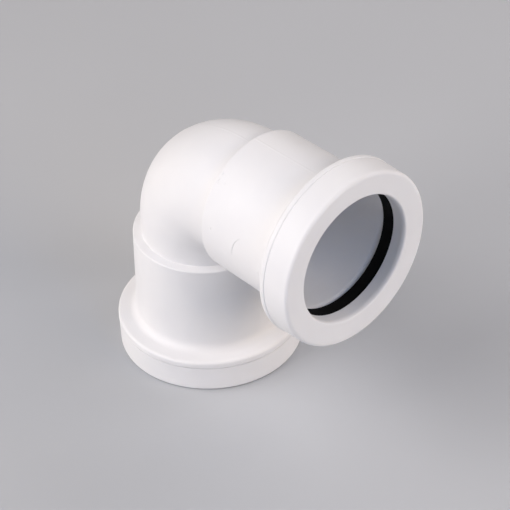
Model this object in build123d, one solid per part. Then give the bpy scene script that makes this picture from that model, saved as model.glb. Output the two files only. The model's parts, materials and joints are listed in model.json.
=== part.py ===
from build123d import *
import os

# A push-fit knuckle bend for 40 mm waste pipe: a tight 90 degree elbow with a rubber-sealed socket at each end.
# It stands on the face of its base socket, whose axis is Z, and its arm points along +X.
# Radii are from a socket's axis, and depths run inwards from its open face. All sizes are in millimetres.

# Pipe and clearances, all radial
pipe_radius = 20.5
socket_clearance = 0.25
mouth_clearance = 0.4
spigot_clearance = 0.1
seal_clearance = 0.15

# Bend and the straight barrels that lead into it
stop_ledge = 2.65
barrel_wall = 2.35
barrel_length = 4.7
inner_bend_radius = 1.15

# Socket, from its flange to its stop ledge
socket_length = 30.6
socket_wall = 2.05
socket_draft = 0.4
stop_wall = 2.6
stop_edge = 0.4
shoulder_edge = 0.7
shoulder_root = 0.4
lead_in_length = 2.0
lead_in_rise = 0.3

# Flange that carries the cap
flange_step = 0.25
flange_rim = 2.1
flange_rise = 0.7
flange_root_fillet = 2.6
flange_back_edge = 1.0
joint_edge = 0.2

# Spigot on the flange that centres the cap and clamps the seal
spigot_height = 0.8
spigot_wall = 1.5
spigot_edge = 0.2

# Retaining cap
mouth_length = 4.95
mouth_edge = 0.8
mouth_inner_edge = 0.15
cap_wall = 3.2
cap_draft = 0.05
cap_front_edge = 1.1

# Lip seal and the groove that holds it
groove_height = 4.7
heel_length = 3.35
heel_edge = 0.4
lip_recess = 0.5
lip_land = 0.6
lip_edge = 0.2
lip_relief = 0.3

# Radii that follow, from the waterway outwards
barrel_bore_radius = pipe_radius - stop_ledge
barrel_radius = barrel_bore_radius + barrel_wall
bend_radius = barrel_bore_radius + inner_bend_radius
socket_bore_radius = pipe_radius + socket_clearance
shoulder_radius = socket_bore_radius + socket_wall
mouth_radius = pipe_radius + mouth_clearance
groove_radius = mouth_radius + groove_height
spigot_outer_radius = groove_radius - spigot_clearance
spigot_inner_radius = spigot_outer_radius - spigot_wall
cap_front_radius = groove_radius + cap_wall
cap_back_radius = cap_front_radius + cap_draft
flange_radius = cap_back_radius + flange_step

# Depths that follow, from the open face inwards
spigot_depth = mouth_length + heel_length
cap_length = spigot_depth + spigot_height
stop_depth = cap_length + socket_length
shoulder_depth = stop_depth + stop_wall
bend_start = shoulder_depth + barrel_length
centre_to_face = bend_start + bend_radius


# Solid turned about Z from corners of (radius, depth, rounding)
def turned(*corners):
    points = [(radius, depth) for radius, depth, rounding in corners]
    roundings = [rounding for radius, depth, rounding in corners]
    outline = FilletPolyline(*points, radius=roundings, close=True)
    return revolve(Plane.XZ * make_face(outline), Axis.Z)


# Wall of one leg: spigot, flange, socket, stop ledge and the straight barrel up to the bend
def leg_wall():
    return turned(
        (spigot_inner_radius, spigot_depth, spigot_edge),
        (spigot_outer_radius, spigot_depth, spigot_edge),
        (spigot_outer_radius, cap_length, 0),
        (flange_radius, cap_length, joint_edge),
        (flange_radius, cap_length + flange_rim, flange_back_edge),
        (shoulder_radius + socket_draft, cap_length + flange_rim + flange_rise, flange_root_fillet),
        (shoulder_radius, shoulder_depth, shoulder_edge),
        (barrel_radius, shoulder_depth, shoulder_root),
        (barrel_radius, bend_start, 0),
        (barrel_bore_radius, bend_start, 0),
        (barrel_bore_radius, stop_depth, stop_edge),
        (socket_bore_radius, stop_depth, stop_edge),
        (socket_bore_radius, cap_length + lead_in_length, 0),
        (socket_bore_radius + lead_in_rise, cap_length, 0),
        (spigot_inner_radius, cap_length, 0),
    )


# Quarter-turn bend: the barrel's section swept about the knuckle axis, its outside stopping at that axis
def bend_wall():
    knuckle = Axis((bend_radius, 0, bend_start), (0, 1, 0))
    past_axis = Location((bend_radius + barrel_radius, 0)) * Rectangle(2 * barrel_radius, 2 * barrel_radius)
    section = Circle(barrel_radius) - past_axis - Circle(barrel_bore_radius)
    return revolve(Location((0, 0, bend_start)) * section, knuckle, 90)


# Ring cap: its mouth guides the pipe, and its groove holds the seal against the spigot
def retaining_cap():
    return turned(
        (mouth_radius, 0, mouth_edge),
        (cap_front_radius, 0, cap_front_edge),
        (cap_back_radius, cap_length, joint_edge),
        (groove_radius, cap_length, 0),
        (groove_radius, mouth_length, 0),
        (mouth_radius, mouth_length, mouth_inner_edge),
    )


# Rubber ring with a square heel in the groove and a lip that leans in to lie on the pipe
def seal_ring():
    heel_radius = groove_radius - seal_clearance
    step_radius = spigot_inner_radius - seal_clearance
    lip_back = cap_length - lip_relief
    return turned(
        (mouth_radius + lip_recess, mouth_length, heel_edge),
        (heel_radius, mouth_length, heel_edge),
        (heel_radius, spigot_depth, heel_edge),
        (step_radius, spigot_depth, 0),
        (step_radius, lip_back, lip_edge),
        (pipe_radius, lip_back, lip_edge),
        (pipe_radius, lip_back - lip_land, lip_edge),
    )


# Open face of each socket, with its depth direction along the plane's Z
faces = {
    "base": Plane((0, 0, 0), x_dir=(1, 0, 0), z_dir=(0, 0, 1)),
    "arm": Plane((centre_to_face, 0, centre_to_face), x_dir=(0, 0, 1), z_dir=(-1, 0, 0)),
}

legs = faces["base"] * leg_wall() + faces["arm"] * leg_wall()
parts = {"elbow_body": legs + bend_wall()}
for end, face in faces.items():
    parts[f"{end}_retaining_cap"] = face * retaining_cap()
    parts[f"{end}_seal_ring"] = face * seal_ring()

os.makedirs("parts", exist_ok=True)
for name, part in parts.items():
    export_step(part, f"parts/{name}.step")
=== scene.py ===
"""Dresses the push-fit knuckle bend: moulded surfaces worked out as grids, white plastic, black rubber, a studio."""

import json
import math

import bmesh
import bpy
import numpy as np
from mathutils import Matrix, Vector


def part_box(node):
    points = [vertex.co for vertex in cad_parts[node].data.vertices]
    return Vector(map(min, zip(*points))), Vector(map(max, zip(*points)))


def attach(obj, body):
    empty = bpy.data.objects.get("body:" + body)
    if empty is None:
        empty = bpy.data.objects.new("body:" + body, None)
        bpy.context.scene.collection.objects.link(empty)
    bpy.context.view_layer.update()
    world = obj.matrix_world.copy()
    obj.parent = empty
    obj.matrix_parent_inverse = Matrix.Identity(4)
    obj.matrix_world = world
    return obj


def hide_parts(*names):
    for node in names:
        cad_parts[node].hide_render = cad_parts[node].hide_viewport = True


bl_info = {
    "name": "Push-fit knuckle bend",
    "version": (1, 0, 0),
    "blender": (4, 5, 0),
    "location": "3D View > Sidebar > Knuckle bend",
    "description": "Builds the visible surfaces, finishes and studio of a push-fit waste pipe bend",
    "category": "Add Mesh",
}

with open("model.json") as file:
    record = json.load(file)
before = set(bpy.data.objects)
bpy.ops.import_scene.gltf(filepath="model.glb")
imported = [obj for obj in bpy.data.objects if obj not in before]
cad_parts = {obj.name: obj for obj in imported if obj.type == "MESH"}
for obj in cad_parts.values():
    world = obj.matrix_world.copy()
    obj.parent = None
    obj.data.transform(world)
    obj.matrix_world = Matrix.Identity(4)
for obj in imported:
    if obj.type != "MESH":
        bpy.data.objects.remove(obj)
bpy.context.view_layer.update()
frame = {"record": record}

MM = 0.001
BODY = "root"
ENDS = ("base", "arm")
ARM_SOCKET = next(mount for mount in frame["record"]["mounts"] if mount["name"] == "arm_socket")

# Fineness of the meshes: columns round a section, rows along it, and the longest step along an outline or a corner
BODY_COLUMNS = 208
RING_COLUMNS = 256
TRACE_COLUMNS = 16
TRACE_ROWS = 61
BURR_COLUMNS = 24
BURR_ROWS = 13
PLASTIC_STEP = 1.5 * MM
RUBBER_STEP = 1.0 * MM
CORNER_STEP = math.radians(14)
LEAST_CORNER_STEPS = 3
EDGE_GUARD = 0.12 * MM
MERGE_DISTANCE = 1e-7
SHARP_ANGLE = math.radians(32)

# Extra columns beside the parting line, in half widths of its bead
BEAD_COLUMNS = np.array([-2.2, -1.2, -0.6, 0.6, 1.2, 2.2])

# Trace of the mould insert: where its arc starts and how far it runs, in degrees, and how slowly its ends fade
TRACE_START = -10
TRACE_SWEEP = 62
TRACE_FADE = 0.6

# Burrs on the arm: depth from its face in millimetres, degrees round it from its top, and share of the largest one
BURRS = (
    (41.3, 38, 1.0),
    (41.2, 43.5, 0.7),
    (41.0, 46, 0.6),
    (38.6, 44, 0.55),
    (38.4, 81, 0.8),
    (17.7, 95, 0.75),
)
BURR_STRETCH = 1.6

# Studio, in metres: soft boxes with azimuth and elevation in degrees, width, height, watts and tint
FLOOR_HALF = 3.0
SURROUND_COLOUR = (0.80, 0.88, 1.0, 1)
SURROUND_STRENGTH = 0.01
LIGHT_AIM = Vector((0.02, 0, 0.05))
LIGHT_DISTANCE = 1.2
SOFT_BOXES = (
    ("key_softbox", -18, 30, 0.75, 1.1, 4.6, (1.0, 0.945, 0.92)),
    ("left_softbox", -48, 32, 0.6, 0.9, 5.0, (1.0, 0.945, 0.92)),
    ("front_softbox", -8, 20, 0.5, 0.7, 4.2, (1.0, 0.925, 0.885)),
    ("top_softbox", -25, 58, 0.8, 0.8, 3.6, (1.0, 0.925, 0.87)),
    ("right_softbox", 107, 23, 0.7, 0.6, 7.6, (1.0, 0.825, 0.64)),
    ("fill_softbox", 96, 42, 0.6, 0.5, 1.9, (0.40, 0.62, 1.0)),
    ("side_softbox", 72, 26, 0.6, 0.5, 1.6, (0.40, 0.62, 1.0)),
    ("back_right_softbox", 165, 36, 0.7, 0.7, 3.4, (1.0, 0.93, 0.91)),
    ("back_softbox", 212, 36, 1.0, 0.7, 2.2, (1.0, 0.92, 0.88)),
)
SENSOR_WIDTH_MM = 36
CLIP_START = 0.01
CLIP_END = 20


# Sizes and finishes that a user would change

def size(name, description, metres):
    """A length in metres, shown in the scene's units."""
    return bpy.props.FloatProperty(name=name, description=description, default=metres, unit="LENGTH", precision=5)


def share(name, description, default):
    """A plain number from 0 to 1."""
    return bpy.props.FloatProperty(name=name, description=description, default=default, min=0, max=1, subtype="FACTOR")


def view_angle(name, description, degrees):
    """An angle, kept in radians and shown in degrees."""
    return bpy.props.FloatProperty(name=name, description=description, default=math.radians(degrees), subtype="ANGLE")


def colour(name, description, default):
    """A linear colour."""
    return bpy.props.FloatVectorProperty(
        name=name, description=description, default=default, size=3, min=0, max=1, subtype="COLOR"
    )


class BendSizes(bpy.types.PropertyGroup):
    """Sizes of the moulded body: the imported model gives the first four, and the rest follow it with finer edges."""

    centre_to_face: size("Centre to face", "From the crossing of the axes to each face", ARM_SOCKET["pos_m"][2])
    socket_bore: size("Socket bore", "Radius that guides the pipe", ARM_SOCKET["dims"]["r_mm"] * MM)
    flange_radius: size("Flange radius", "Outside radius of both flanges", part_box("elbow_body")[1].y)
    cap_length: size("Cap length", "From the face to the joint with the flange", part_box("base_retaining_cap")[1].z)
    bend_radius: size("Bend radius", "Of the bend's centre line", 19.0 * MM)
    barrel_radius: size("Barrel radius", "Outside of the bend and its barrels", 20.2 * MM)
    barrel_bore: size("Barrel bore", "Radius of the waterway", 17.85 * MM)
    stop_depth: size("Stop depth", "From the face to the ledge that stops the pipe", 39.7 * MM)
    stop_edge: size("Stop edge", "Rounding of the stop ledge", 0.4 * MM)
    shoulder_radius: size("Shoulder radius", "Outside of the socket at its shoulder", 22.8 * MM)
    shoulder_depth: size("Shoulder depth", "From the face to the socket's shoulder", 42.3 * MM)
    shoulder_edge: size("Shoulder edge", "Rounding of the shoulder's rim", 0.5 * MM)
    shoulder_root: size("Shoulder root", "Fillet between the shoulder and the barrel", 0.1 * MM)
    shoulder_fall: size("Shoulder fall", "Drop of the shoulder from the barrel to its rim", 0.5 * MM)
    socket_draft: size("Socket draft", "How much wider the socket is at its flange", 0.4 * MM)
    flange_rim: size("Flange rim", "Thickness of the flange at its rim", 2.1 * MM)
    flange_rise: size("Flange rise", "How much thicker the flange is at its root", 0.7 * MM)
    flange_fillet: size("Flange fillet", "Fillet between the flange and the socket", 2.6 * MM)
    flange_edge: size("Flange edge", "Rounding of the flange's back edge", 1.0 * MM)
    joint_edge: size("Joint edge", "Rounding of the flange at the joint line, twice that of the cap", 0.1 * MM)
    lead_in_length: size("Lead-in length", "Cone at the socket's entry", 2.0 * MM)
    lead_in_rise: size("Lead-in rise", "How much that cone widens", 0.3 * MM)
    spigot_outer: size("Spigot outer radius", "Of the ring that centres the cap", 25.5 * MM)
    spigot_inner: size("Spigot inner radius", "Of the ring that centres the cap", 24.0 * MM)
    spigot_depth: size("Spigot depth", "From the face to the spigot's end", 8.3 * MM)
    spigot_edge: size("Spigot edge", "Rounding of the spigot's end", 0.2 * MM)
    parting_height: size("Parting line height", "Bead left where the mould halves met", 0.06 * MM)
    parting_width: size("Parting line width", "Half width of that bead", 0.2 * MM)


class CapSizes(bpy.types.PropertyGroup):
    """Sizes of the two retaining caps and their seals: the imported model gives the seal's box, and the rest follow it
    with finer edges."""

    front_radius: size("Front radius", "Outside of the cap at its face", 28.8 * MM)
    back_radius: size("Back radius", "Outside of the cap at the joint", 28.97 * MM)
    front_edge: size("Front edge", "Rounding round the face", 1.1 * MM)
    base_gap: size("Base gap", "Fine gap left between the base's cap and its flange", 0.3 * MM)
    arm_gap: size("Arm gap", "Fine gap left between the arm's cap and its flange", 0.01 * MM)
    gap_depth: size("Gap depth", "How deep those gaps go", 0.5 * MM)
    mouth_radius: size("Mouth radius", "Bore that the pipe enters", 20.75 * MM)
    rim_land: size("Rim land", "Width of the flat rim that the bend stands on", 1.5 * MM)
    rim_blend: size("Rim blend", "Rounding between that rim and the dished face", 8.0 * MM)
    face_dish: size("Face dish", "How much deeper the face lies at its mouth than at its rim", 0.3 * MM)
    mouth_edge: size("Mouth edge", "Rounding between the face and the lead-in", 0.69 * MM)
    lead_in_length: size("Lead-in length", "Cone at the mouth's entry", 0.95 * MM)
    lead_in_rise: size("Lead-in rise", "How much that cone widens", 0.45 * MM)
    lead_in_blend: size("Lead-in blend", "Rounding between that cone and the bore", 2.55 * MM)
    mouth_inner_edge: size("Inner mouth edge", "Rounding where the bore meets the seal", 0.15 * MM)
    groove_radius: size("Groove radius", "Inside of the groove for the seal", 25.6 * MM)
    heel_radius: size("Heel radius", "Outside of the seal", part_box("base_seal_ring")[1].y)
    mouth_length: size("Mouth length", "Depth of the mouth's bore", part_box("base_seal_ring")[0].z)
    seal_setback: size("Seal set-back", "How much deeper the seal sits than in the packed model", 0.16 * MM)
    lip_back: size("Lip back", "Depth of the seal's inner end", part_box("base_seal_ring")[1].z)
    heel_edge: size("Heel edge", "Rounding of the seal's heel", 0.4 * MM)
    lip_radius: size("Lip radius", "Radius of the seal's lip, just inside that of the pipe", 20.35 * MM)
    lip_recess: size("Lip recess", "How far the seal's front lies behind the mouth's bore", 0.5 * MM)
    lip_land: size("Lip land", "Length of the lip that lies on the pipe", 0.6 * MM)
    lip_edge: size("Lip edge", "Rounding of the lip", 0.2 * MM)
    seal_clearance: size("Seal clearance", "Between the seal and the spigot", 0.15 * MM)


class MarkSizes(bpy.types.PropertyGroup):
    """Sizes of the faint marks that the mould leaves on the arm's near side."""

    arc_radius: size("Arc radius", "Of the trace of a round mould insert", 7.65 * MM)
    arc_width: size("Arc width", "Half width of that trace", 0.2 * MM)
    arc_height: size("Arc height", "How far that trace stands up", 0.13 * MM)
    arc_depth: size("Arc depth", "From the arm's face to the middle of that trace", 21.3 * MM)
    speck_radius: size("Speck radius", "Of the largest burr left at the shoulder", 0.42 * MM)
    speck_height: size("Speck height", "How far the burrs stand up", 0.14 * MM)


class BendFinish(bpy.types.PropertyGroup):
    """Colours and gloss."""

    plastic: colour("Plastic", "Moulded white polypropylene", (0.83, 0.835, 0.855))
    plastic_tint: colour("Plastic tint", "Slightly deeper white of its cloudy patches", (0.80, 0.805, 0.83))
    plastic_roughness: share("Plastic roughness", "Satin of the mould's surface", 0.5)
    translucency: share("Translucency", "Share of light that goes through the plastic's skin", 0.08)
    rubber: colour("Rubber", "Black rubber", (0.001, 0.001, 0.0012))
    rubber_roughness: share("Rubber roughness", "Matt of the rubber", 0.7)
    floor: colour("Floor", "Plain pale floor", (0.48, 0.50, 0.53))


class StudioView(bpy.types.PropertyGroup):
    """Camera angle and framing."""

    azimuth: view_angle("Azimuth", "Camera's turn round the object", 47.75)
    elevation: view_angle("Elevation", "Camera's height angle", 38.91)
    roll: view_angle("Roll", "Camera's tilt about its own line of sight", -2.42)
    distance: size("Distance", "From the camera to the base", 1.01239)
    aside: size("Aside", "How far the camera stands to its right", 13.74 * MM)
    raised: size("Raised", "How far the camera stands above its line to the base", 23.99 * MM)
    lens: bpy.props.FloatProperty(name="Lens", description="Focal length in millimetres", default=224.55, min=1)


# Surfaces

def rounded_loop(corners, step):
    """Closed outline through (radius, depth, rounding) corners: at each corner an arc that touches both of its runs,
    and along each run points at most a step apart, with one close to each end to keep the shading crisp."""
    points = np.array([corner[:2] for corner in corners], float)
    rounding = np.array([corner[2] for corner in corners], float)
    before = points - np.roll(points, 1, axis=0)
    after = np.roll(points, -1, axis=0) - points
    before /= np.linalg.norm(before, axis=1, keepdims=True)
    after /= np.linalg.norm(after, axis=1, keepdims=True)
    turn = np.arctan2(before[:, 0] * after[:, 1] - before[:, 1] * after[:, 0], (before * after).sum(1))
    reach = rounding * np.tan(np.abs(turn) / 2)
    starts = points - before * reach[:, None]
    ends = points + after * reach[:, None]
    loop = []
    for i, (corner_turn, radius) in enumerate(zip(turn, rounding)):
        if radius > 0:
            side = np.sign(corner_turn) * np.array([-before[i, 1], before[i, 0]])
            steps = max(LEAST_CORNER_STEPS, math.ceil(abs(corner_turn) / CORNER_STEP))
            angles = np.linspace(0, corner_turn, steps + 1)[:, None]
            spoke = -side * np.cos(angles) + before[i] * np.sign(corner_turn) * np.sin(angles)
            loop.append(starts[i] + side * radius + spoke * radius)
        else:
            loop.append(points[i][None])
        run = starts[(i + 1) % len(points)] - ends[i]
        length = np.linalg.norm(run)
        if length > 4 * EDGE_GUARD:
            inner = np.linspace(EDGE_GUARD, length - EDGE_GUARD, max(2, math.ceil(length / step)))
            loop.append(ends[i] + run[None] * (inner / length)[:, None])
    return np.concatenate(loop)


def closed_mesh(name, *grids, ring=True):
    """Mesh on grids of points that close on themselves sideways, and lengthways too where ring is true. Otherwise the
    first and last rows are single points. Faces are turned outwards, by the sign of the volume, and doubles merged."""
    corners, faces, count = [], [], 0
    for grid in grids:
        rows, columns = grid.shape[:2]
        index = np.arange(rows * columns).reshape(rows, columns)
        below = np.roll(index, -1, axis=0) if ring else index[1:]
        above = index if ring else index[:-1]
        quads = np.stack([above, np.roll(above, -1, 1), np.roll(below, -1, 1), below], axis=-1).reshape(-1, 4)
        points = grid.reshape(-1, 3)
        a, b, c, d = (points[quads[:, k]] - points.mean(0) for k in range(4))
        if np.einsum("ij,ij->i", np.cross(c - a, d - b), a + b + c + d).sum() < 0:
            quads = quads[:, ::-1]
        corners.append(points)
        faces.append(quads + count)
        count += len(points)
    mesh = bpy.data.meshes.new(name)
    mesh.from_pydata(np.concatenate(corners), [], np.concatenate(faces))
    work = bmesh.new()
    work.from_mesh(mesh)
    bmesh.ops.remove_doubles(work, verts=work.verts, dist=MERGE_DISTANCE)
    bmesh.ops.dissolve_degenerate(work, edges=work.edges, dist=MERGE_DISTANCE)
    work.to_mesh(mesh)
    work.free()
    mesh.shade_smooth()
    mesh.set_sharp_from_angle(angle=SHARP_ANGLE)
    return mesh


def turned_grid(loop, end, centre_to_face, columns):
    """The outline turned about one socket's axis: radius goes round the axis and depth runs inwards from its face."""
    angle = np.linspace(0, 2 * np.pi, columns, endpoint=False)[None]
    radius, depth = loop[:, 0:1], loop[:, 1:2]
    spoke, side, depth = radius * np.cos(angle), radius * np.sin(angle), np.repeat(depth, columns, axis=1)
    if end == "base":
        return np.stack([spoke, side, depth], axis=-1)
    return np.stack([centre_to_face - depth, side, centre_to_face + spoke], axis=-1)


def bent_grid(radius, reach, angle, sizes):
    """A round section carried along the base's axis, a quarter turn and the arm's axis. Points that would cross the
    knuckle's axis, on the inside of the bend, are held on the mitre where the two barrels meet."""
    start, turn = sizes.centre_to_face - sizes.bend_radius, sizes.bend_radius * np.pi / 2
    inwards, side = radius * np.cos(angle), radius * np.sin(angle)
    reach = np.broadcast_to(reach, inwards.shape)
    held = inwards > sizes.bend_radius
    mitre = sizes.centre_to_face - inwards
    height = np.where(held, np.minimum(reach, mitre), reach)
    base = np.stack([inwards, side, height], axis=-1)
    along = sizes.bend_radius + (reach - start - turn)
    arm = np.stack([np.where(held, np.maximum(along, inwards), along), side, mitre], axis=-1)
    sweep = np.clip((reach - start) / sizes.bend_radius, 0, np.pi / 2)
    from_axis = sizes.bend_radius - inwards
    knuckle = np.stack(
        [
            np.where(held, inwards, sizes.bend_radius - from_axis * np.cos(sweep)),
            side,
            np.where(held, mitre, start + from_axis * np.sin(sweep)),
        ],
        axis=-1,
    )
    in_base, in_arm = (reach <= start)[..., None], (reach >= start + turn)[..., None]
    return np.where(in_base, base, np.where(in_arm, arm, knuckle))


def on_arm(depth, around, height, sizes):
    """Points on the arm's outside: depth in from its face, a distance around it from its top towards -Y, and height
    off it. The wall's radius there runs evenly from the flange's to the shoulder's."""
    root = sizes.cap_length + sizes.flange_rim + sizes.flange_rise
    share_in = (depth - root) / (sizes.shoulder_depth - root)
    radius = sizes.shoulder_radius + sizes.socket_draft * (1 - share_in)
    angle = around / radius
    radius = radius + height
    return np.stack(
        [sizes.centre_to_face - depth, -radius * np.sin(angle), sizes.centre_to_face + radius * np.cos(angle)], axis=-1
    )


def place(name, mesh, material, slot, *nodes):
    """Puts a finished mesh in the scene as a piece on the body, in place of its nodes."""
    piece = bpy.data.objects.new(name, mesh)
    bpy.context.scene.collection.objects.link(piece)
    mesh.materials.append(material)
    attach(piece, BODY)
    if nodes:
        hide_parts(*nodes)


def direction(azimuth, elevation):
    """Unit vector out to a place round the object: azimuth runs from -Y towards +X, and elevation up from level."""
    level = math.cos(elevation)
    return Vector((math.sin(azimuth) * level, -math.cos(azimuth) * level, math.sin(elevation)))


# Finishes

def new_material(name):
    """A new node material, with its nodes, its links and its main shader."""
    material = bpy.data.materials.new(name)
    material.use_nodes = True
    nodes, links = material.node_tree.nodes, material.node_tree.links
    return material, nodes, links, nodes["Principled BSDF"]


def speckle(nodes, links, scale, detail, roughness):
    """Noise on Object coordinates: its scale is in grains per metre."""
    coordinates = nodes.new("ShaderNodeTexCoord")
    noise = nodes.new("ShaderNodeTexNoise")
    noise.inputs["Scale"].default_value = scale
    noise.inputs["Detail"].default_value = detail
    noise.inputs["Roughness"].default_value = roughness
    links.new(coordinates.outputs["Object"], noise.inputs["Vector"])
    return noise.outputs["Fac"]


def spread(nodes, links, value, low, high):
    """Maps noise from its middle range to low..high."""
    ramp = nodes.new("ShaderNodeMapRange")
    ramp.inputs["From Min"].default_value = 0.3
    ramp.inputs["From Max"].default_value = 0.7
    ramp.inputs["To Min"].default_value = low
    ramp.inputs["To Max"].default_value = high
    links.new(value, ramp.inputs["Value"])
    return ramp.outputs["Result"]


def bump(nodes, links, height, depth, under=None):
    """Relief of the given depth in metres, on top of another relief."""
    relief = nodes.new("ShaderNodeBump")
    relief.inputs["Strength"].default_value = 1.0
    relief.inputs["Distance"].default_value = depth
    links.new(height, relief.inputs["Height"])
    if under:
        links.new(under, relief.inputs["Normal"])
    return relief.outputs["Normal"]


def mottle(nodes, links, shader, noise, first, second):
    """Base colour that goes from the first colour to the second with the noise."""
    mix = nodes.new("ShaderNodeMix")
    mix.data_type = "RGBA"
    mix.inputs["A"].default_value = (*first, 1)
    mix.inputs["B"].default_value = (*second, 1)
    links.new(spread(nodes, links, noise, 0, 1), mix.inputs["Factor"])
    links.new(mix.outputs["Result"], shader.inputs["Base Color"])


def patchy_gloss(nodes, links, shader, noise, roughness, swing):
    """Roughness that goes by swing to both sides of its middle with the noise."""
    links.new(spread(nodes, links, noise, roughness - swing, roughness + swing), shader.inputs["Roughness"])


def white_plastic(finish):
    """Moulded polypropylene: cloudy off-white, satin, a little light under its skin, faint flow waves, fine grain."""
    material, nodes, links, shader = new_material("white_polypropylene")
    cloud = speckle(nodes, links, scale=70, detail=2, roughness=0.5)
    mottle(nodes, links, shader, cloud, finish.plastic, finish.plastic_tint)
    gloss = speckle(nodes, links, scale=260, detail=4, roughness=0.6)
    patchy_gloss(nodes, links, shader, gloss, finish.plastic_roughness, swing=0.05)
    waves = bump(nodes, links, speckle(nodes, links, scale=45, detail=1, roughness=0.4), depth=0.00006)
    grain = speckle(nodes, links, scale=1300, detail=4, roughness=0.65)
    links.new(bump(nodes, links, grain, depth=0.00002, under=waves), shader.inputs["Normal"])
    shader.inputs["Subsurface Weight"].default_value = finish.translucency
    shader.inputs["Subsurface Radius"].default_value = (1.0, 0.92, 0.88)
    shader.inputs["Subsurface Scale"].default_value = 1.2 * MM
    shader.inputs["IOR"].default_value = 1.49
    return material


def black_rubber(finish):
    """Moulded rubber: near black, matt, with a fine grain and a dusty variation of its gloss."""
    material, nodes, links, shader = new_material("moulded_rubber")
    dust = speckle(nodes, links, scale=600, detail=3, roughness=0.6)
    dusty = [2 * channel for channel in finish.rubber]
    mottle(nodes, links, shader, dust, finish.rubber, dusty)
    patchy_gloss(nodes, links, shader, dust, finish.rubber_roughness, swing=0.08)
    grain = speckle(nodes, links, scale=3000, detail=2, roughness=0.5)
    links.new(bump(nodes, links, grain, depth=0.000006), shader.inputs["Normal"])
    shader.inputs["Specular IOR Level"].default_value = 0.12
    return material


def pale_floor(finish):
    """Plain matt floor with a barely visible mottle."""
    material, nodes, links, shader = new_material("pale_floor")
    cloud = speckle(nodes, links, scale=9, detail=3, roughness=0.5)
    duller = [0.97 * channel for channel in finish.floor]
    mottle(nodes, links, shader, cloud, finish.floor, duller)
    shader.inputs["Roughness"].default_value = 0.55
    return material


def finish_named(name, make, finish):
    """The material of that name, made the first time that it is asked for."""
    return bpy.data.materials.get(name) or make(finish)


# Operators

class KNUCKLE_OT_elbow_body(bpy.types.Operator):
    """Builds the moulded body: both legs and the bend as one wall carried along the waterway"""

    bl_idname = "knuckle.elbow_body"
    bl_label = "Elbow body"

    def execute(self, context):
        s = context.scene.knuckle_sizes
        outside = [
            (s.spigot_inner, s.spigot_depth, s.spigot_edge),
            (s.spigot_outer, s.spigot_depth, s.spigot_edge),
            (s.spigot_outer, s.cap_length, 0),
            (s.flange_radius, s.cap_length, s.joint_edge),
            (s.flange_radius, s.cap_length + s.flange_rim, s.flange_edge),
            (s.shoulder_radius + s.socket_draft, s.cap_length + s.flange_rim + s.flange_rise, s.flange_fillet),
            (s.shoulder_radius, s.shoulder_depth, s.shoulder_edge),
            (s.barrel_radius, s.shoulder_depth + s.shoulder_fall, s.shoulder_root),
        ]
        inside = [
            (s.barrel_bore, s.stop_depth, s.stop_edge),
            (s.socket_bore, s.stop_depth, s.stop_edge),
            (s.socket_bore, s.cap_length + s.lead_in_length, 0),
            (s.socket_bore + s.lead_in_rise, s.cap_length, 0),
            (s.spigot_inner, s.cap_length, 0),
        ]

        # One outline along the waterway from face to face, its second half the first one turned end for end
        way = 2 * (s.centre_to_face - s.bend_radius) + s.bend_radius * np.pi / 2
        far = [[(radius, way - depth, edge) for radius, depth, edge in half[::-1]] for half in (outside, inside)]
        loop = rounded_loop(outside + far[0] + far[1] + inside, PLASTIC_STEP)

        # A low bead on the outside where the mould halves met, bell-shaped across and fading into the flange
        even = np.linspace(0, 2 * np.pi, BODY_COLUMNS, endpoint=False)
        beside = BEAD_COLUMNS * s.parting_width / s.barrel_radius
        angle = np.sort(np.concatenate([even, beside % (2 * np.pi), beside + np.pi]))[None]
        radius, reach = loop[:, 0:1], loop[:, 1:2]
        depth = np.minimum(reach, way - reach)
        in_socket = depth < s.shoulder_depth
        middle = np.where(in_socket, s.socket_bore + s.shoulder_radius, s.barrel_bore + s.barrel_radius) / 2
        root = s.cap_length + s.flange_rim + s.flange_rise + s.flange_fillet
        fade = np.where(radius > middle, np.clip((depth - root) / s.flange_fillet, 0, 1), 0)
        bead = s.parting_height * fade * np.exp(-((radius * np.sin(angle) / s.parting_width) ** 2))
        grid = bent_grid(radius + bead, reach, angle, s)
        material = finish_named("white_polypropylene", white_plastic, context.scene.knuckle_finish)
        place("moulded_elbow", closed_mesh("moulded_elbow", grid), material, "white_plastic", "elbow_body")
        return {"FINISHED"}


class KNUCKLE_OT_retaining_caps(bpy.types.Operator):
    """Builds the ring cap at each end, from its rounded mouth to the joint with the flange"""

    bl_idname = "knuckle.retaining_caps"
    bl_label = "Retaining caps"

    def execute(self, context):
        s, c = context.scene.knuckle_sizes, context.scene.knuckle_caps
        material = finish_named("white_polypropylene", white_plastic, context.scene.knuckle_finish)
        seat = c.mouth_length + c.seal_setback
        for end, gap in zip(ENDS, (c.base_gap, c.arm_gap)):
            loop = rounded_loop(
                [
                    (c.mouth_radius, c.face_dish + c.lead_in_length, c.lead_in_blend),
                    (c.mouth_radius + c.lead_in_rise, c.face_dish, c.mouth_edge),
                    (c.front_radius - c.rim_land, 0, c.rim_blend),
                    (c.front_radius, 0, c.front_edge),
                    (c.back_radius, s.cap_length - gap, s.joint_edge / 2),
                    (c.back_radius - c.gap_depth, s.cap_length - gap, 0),
                    (c.back_radius - c.gap_depth, s.cap_length, 0),
                    (c.groove_radius, s.cap_length, 0),
                    (c.groove_radius, seat, 0),
                    (c.mouth_radius, seat, c.mouth_inner_edge),
                ],
                PLASTIC_STEP,
            )
            mesh = closed_mesh(f"{end}_cap_ring", turned_grid(loop, end, s.centre_to_face, RING_COLUMNS))
            place(f"{end}_cap_ring", mesh, material, "white_plastic", f"{end}_retaining_cap")
        return {"FINISHED"}


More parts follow.
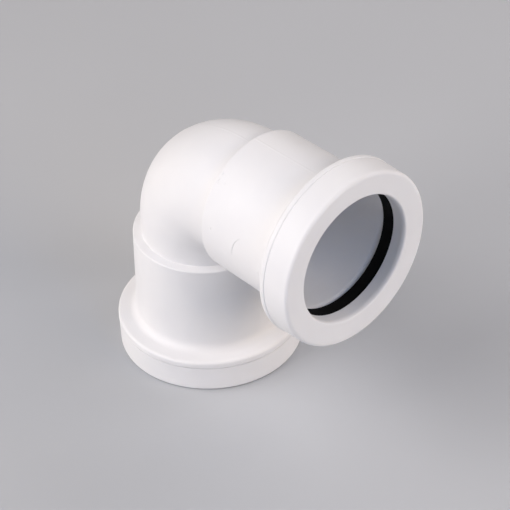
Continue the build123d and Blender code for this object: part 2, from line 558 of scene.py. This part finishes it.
class KNUCKLE_OT_seal_rings(bpy.types.Operator):
    """Builds the rubber lip seal behind each cap"""

    bl_idname = "knuckle.seal_rings"
    bl_label = "Seal rings"

    def execute(self, context):
        s, c = context.scene.knuckle_sizes, context.scene.knuckle_caps
        step_radius = s.spigot_inner - c.seal_clearance
        seat, lip_back = c.mouth_length + c.seal_setback, c.lip_back + c.seal_setback
        loop = rounded_loop(
            [
                (c.mouth_radius + c.lip_recess, seat, c.heel_edge),
                (c.heel_radius, seat, c.heel_edge),
                (c.heel_radius, s.spigot_depth, c.heel_edge),
                (step_radius, s.spigot_depth, 0),
                (step_radius, lip_back, c.lip_edge),
                (c.lip_radius, lip_back, c.lip_edge),
                (c.lip_radius, lip_back - c.lip_land, c.lip_edge),
            ],
            RUBBER_STEP,
        )
        material = finish_named("moulded_rubber", black_rubber, context.scene.knuckle_finish)
        for end in ENDS:
            mesh = closed_mesh(f"{end}_lip_seal", turned_grid(loop, end, s.centre_to_face, RING_COLUMNS))
            place(f"{end}_lip_seal", mesh, material, "black_rubber", f"{end}_seal_ring")
        return {"FINISHED"}


class KNUCKLE_OT_mould_marks(bpy.types.Operator):
    """Builds the faint marks on the arm's near side: the trace of a round insert, and a few burrs by the shoulder"""

    bl_idname = "knuckle.mould_marks"
    bl_label = "Mould marks"

    def execute(self, context):
        s, m = context.scene.knuckle_sizes, context.scene.knuckle_marks
        side = s.shoulder_radius * np.pi / 2
        material = finish_named("white_polypropylene", white_plastic, context.scene.knuckle_finish)

        # An arc of a circle on the wall, with a flat oval section that fades to a point at both ends
        along = np.linspace(0, 1, TRACE_ROWS)[:, None]
        across = np.linspace(0, 2 * np.pi, TRACE_COLUMNS, endpoint=False)[None]
        swing = np.radians(TRACE_START + TRACE_SWEEP * along)
        fade = np.sin(np.pi * along) ** TRACE_FADE
        reach = m.arc_radius + m.arc_width * fade * np.cos(across)
        arc = on_arm(
            m.arc_depth + reach * np.cos(swing), side - reach * np.sin(swing), m.arc_height * fade * np.sin(across), s
        )
        place("insert_trace", closed_mesh("insert_trace", arc, ring=False), material, "white_plastic")

        # Low domes of several sizes, sunk halfway into the wall, most of them near the shoulder's edge
        turn = np.linspace(0, 2 * np.pi, BURR_COLUMNS, endpoint=False)[None]
        tilt = np.linspace(0, np.pi, BURR_ROWS)[:, None]
        domes = []
        for depth, degrees, scale in BURRS:
            radius = scale * m.speck_radius * np.sin(tilt)
            domes.append(
                on_arm(
                    depth * MM + radius * np.cos(turn),
                    math.radians(degrees) * s.shoulder_radius + BURR_STRETCH * radius * np.sin(turn),
                    scale * m.speck_height * np.cos(tilt) + 0 * turn,
                    s,
                )
            )
        place("shoulder_burrs", closed_mesh("shoulder_burrs", *domes, ring=False), material, "white_plastic")
        return {"FINISHED"}


class KNUCKLE_OT_studio(bpy.types.Operator):
    """Lays the floor and sets the lights, the surroundings and the camera"""

    bl_idname = "knuckle.studio"
    bl_label = "Studio"

    def execute(self, context):
        scene = context.scene
        self.lay_floor(scene)
        self.set_lights(scene)
        self.set_camera(scene)
        return {"FINISHED"}

    def lay_floor(self, scene):
        """A square floor, wide enough to fill every view but a nearly level one."""
        half = FLOOR_HALF
        mesh = bpy.data.meshes.new("floor")
        mesh.from_pydata([(-half, -half, 0), (half, -half, 0), (half, half, 0), (-half, half, 0)], [], [(0, 1, 2, 3)])
        floor = bpy.data.objects.new("floor", mesh)
        scene.collection.objects.link(floor)
        mesh.materials.append(finish_named("pale_floor", pale_floor, scene.knuckle_finish))

    def set_lights(self, scene):
        """Soft boxes that stand round the object and face it, and a dim even surround."""
        world = bpy.data.worlds.new("studio_surround")
        world.use_nodes = True
        surround = world.node_tree.nodes["Background"]
        surround.inputs["Color"].default_value = SURROUND_COLOUR
        surround.inputs["Strength"].default_value = SURROUND_STRENGTH
        scene.world = world
        scene.view_settings.view_transform = "Standard"
        for name, azimuth, elevation, width, height, watts, tint in SOFT_BOXES:
            outwards = direction(math.radians(azimuth), math.radians(elevation))
            light = bpy.data.lights.new(name, "AREA")
            light.shape, light.size, light.size_y = "RECTANGLE", width, height
            light.energy, light.color = watts, tint
            box = bpy.data.objects.new(name, light)
            box.location = LIGHT_AIM + LIGHT_DISTANCE * outwards
            box.rotation_euler = outwards.to_track_quat("Z", "Y").to_euler()
            scene.collection.objects.link(box)

    def set_camera(self, scene):
        """A long lens that looks along the view's own axes, moved aside to frame the object."""
        view = scene.knuckle_view
        back = direction(view.azimuth, view.elevation)
        level_right = Vector((math.cos(view.azimuth), math.sin(view.azimuth), 0))
        right = Matrix.Rotation(view.roll, 3, back) @ level_right
        up = back.cross(right)
        data = bpy.data.cameras.new("camera")
        data.sensor_width, data.lens = SENSOR_WIDTH_MM, view.lens
        data.clip_start, data.clip_end = CLIP_START, CLIP_END
        camera = bpy.data.objects.new("camera", data)
        camera.matrix_world = Matrix((right, up, back)).transposed().to_4x4()
        camera.location = view.distance * back + view.aside * right + view.raised * up
        scene.collection.objects.link(camera)
        scene.camera = camera


class KNUCKLE_PT_panel(bpy.types.Panel):
    """Lists the pieces and the studio in the sidebar"""

    bl_label = "Knuckle bend"
    bl_idname = "KNUCKLE_PT_panel"
    bl_space_type = "VIEW_3D"
    bl_region_type = "UI"
    bl_category = "Knuckle bend"

    def draw(self, context):
        """A button for each operator, then a box of settings for each group."""
        for operator in OPERATORS:
            self.layout.operator(operator.bl_idname)
        for group in GROUPS:
            settings = getattr(context.scene, group)
            box = self.layout.box()
            for name in settings.bl_rna.properties.keys():
                if name not in {"rna_type", "name"}:
                    box.prop(settings, name)


GROUPS = {
    "knuckle_sizes": BendSizes,
    "knuckle_caps": CapSizes,
    "knuckle_marks": MarkSizes,
    "knuckle_finish": BendFinish,
    "knuckle_view": StudioView,
}
OPERATORS = (
    KNUCKLE_OT_elbow_body,
    KNUCKLE_OT_retaining_caps,
    KNUCKLE_OT_seal_rings,
    KNUCKLE_OT_mould_marks,
    KNUCKLE_OT_studio,
)


def register():
    """Adds the settings to the scene, then the operators and the panel."""
    for group in GROUPS.values():
        bpy.utils.register_class(group)
    for name, group in GROUPS.items():
        setattr(bpy.types.Scene, name, bpy.props.PointerProperty(type=group))
    for operator in OPERATORS:
        bpy.utils.register_class(operator)
    bpy.utils.register_class(KNUCKLE_PT_panel)


def unregister():
    """Takes them away again, in the opposite order."""
    bpy.utils.unregister_class(KNUCKLE_PT_panel)
    for operator in reversed(OPERATORS):
        bpy.utils.unregister_class(operator)
    for name in GROUPS:
        delattr(bpy.types.Scene, name)
    for group in reversed(GROUPS.values()):
        bpy.utils.unregister_class(group)


def main():
    """Builds every piece and the studio."""
    register()
    bpy.ops.knuckle.elbow_body()
    bpy.ops.knuckle.retaining_caps()
    bpy.ops.knuckle.seal_rings()
    bpy.ops.knuckle.mould_marks()
    bpy.ops.knuckle.studio()


if __name__ == "__main__":
    main()
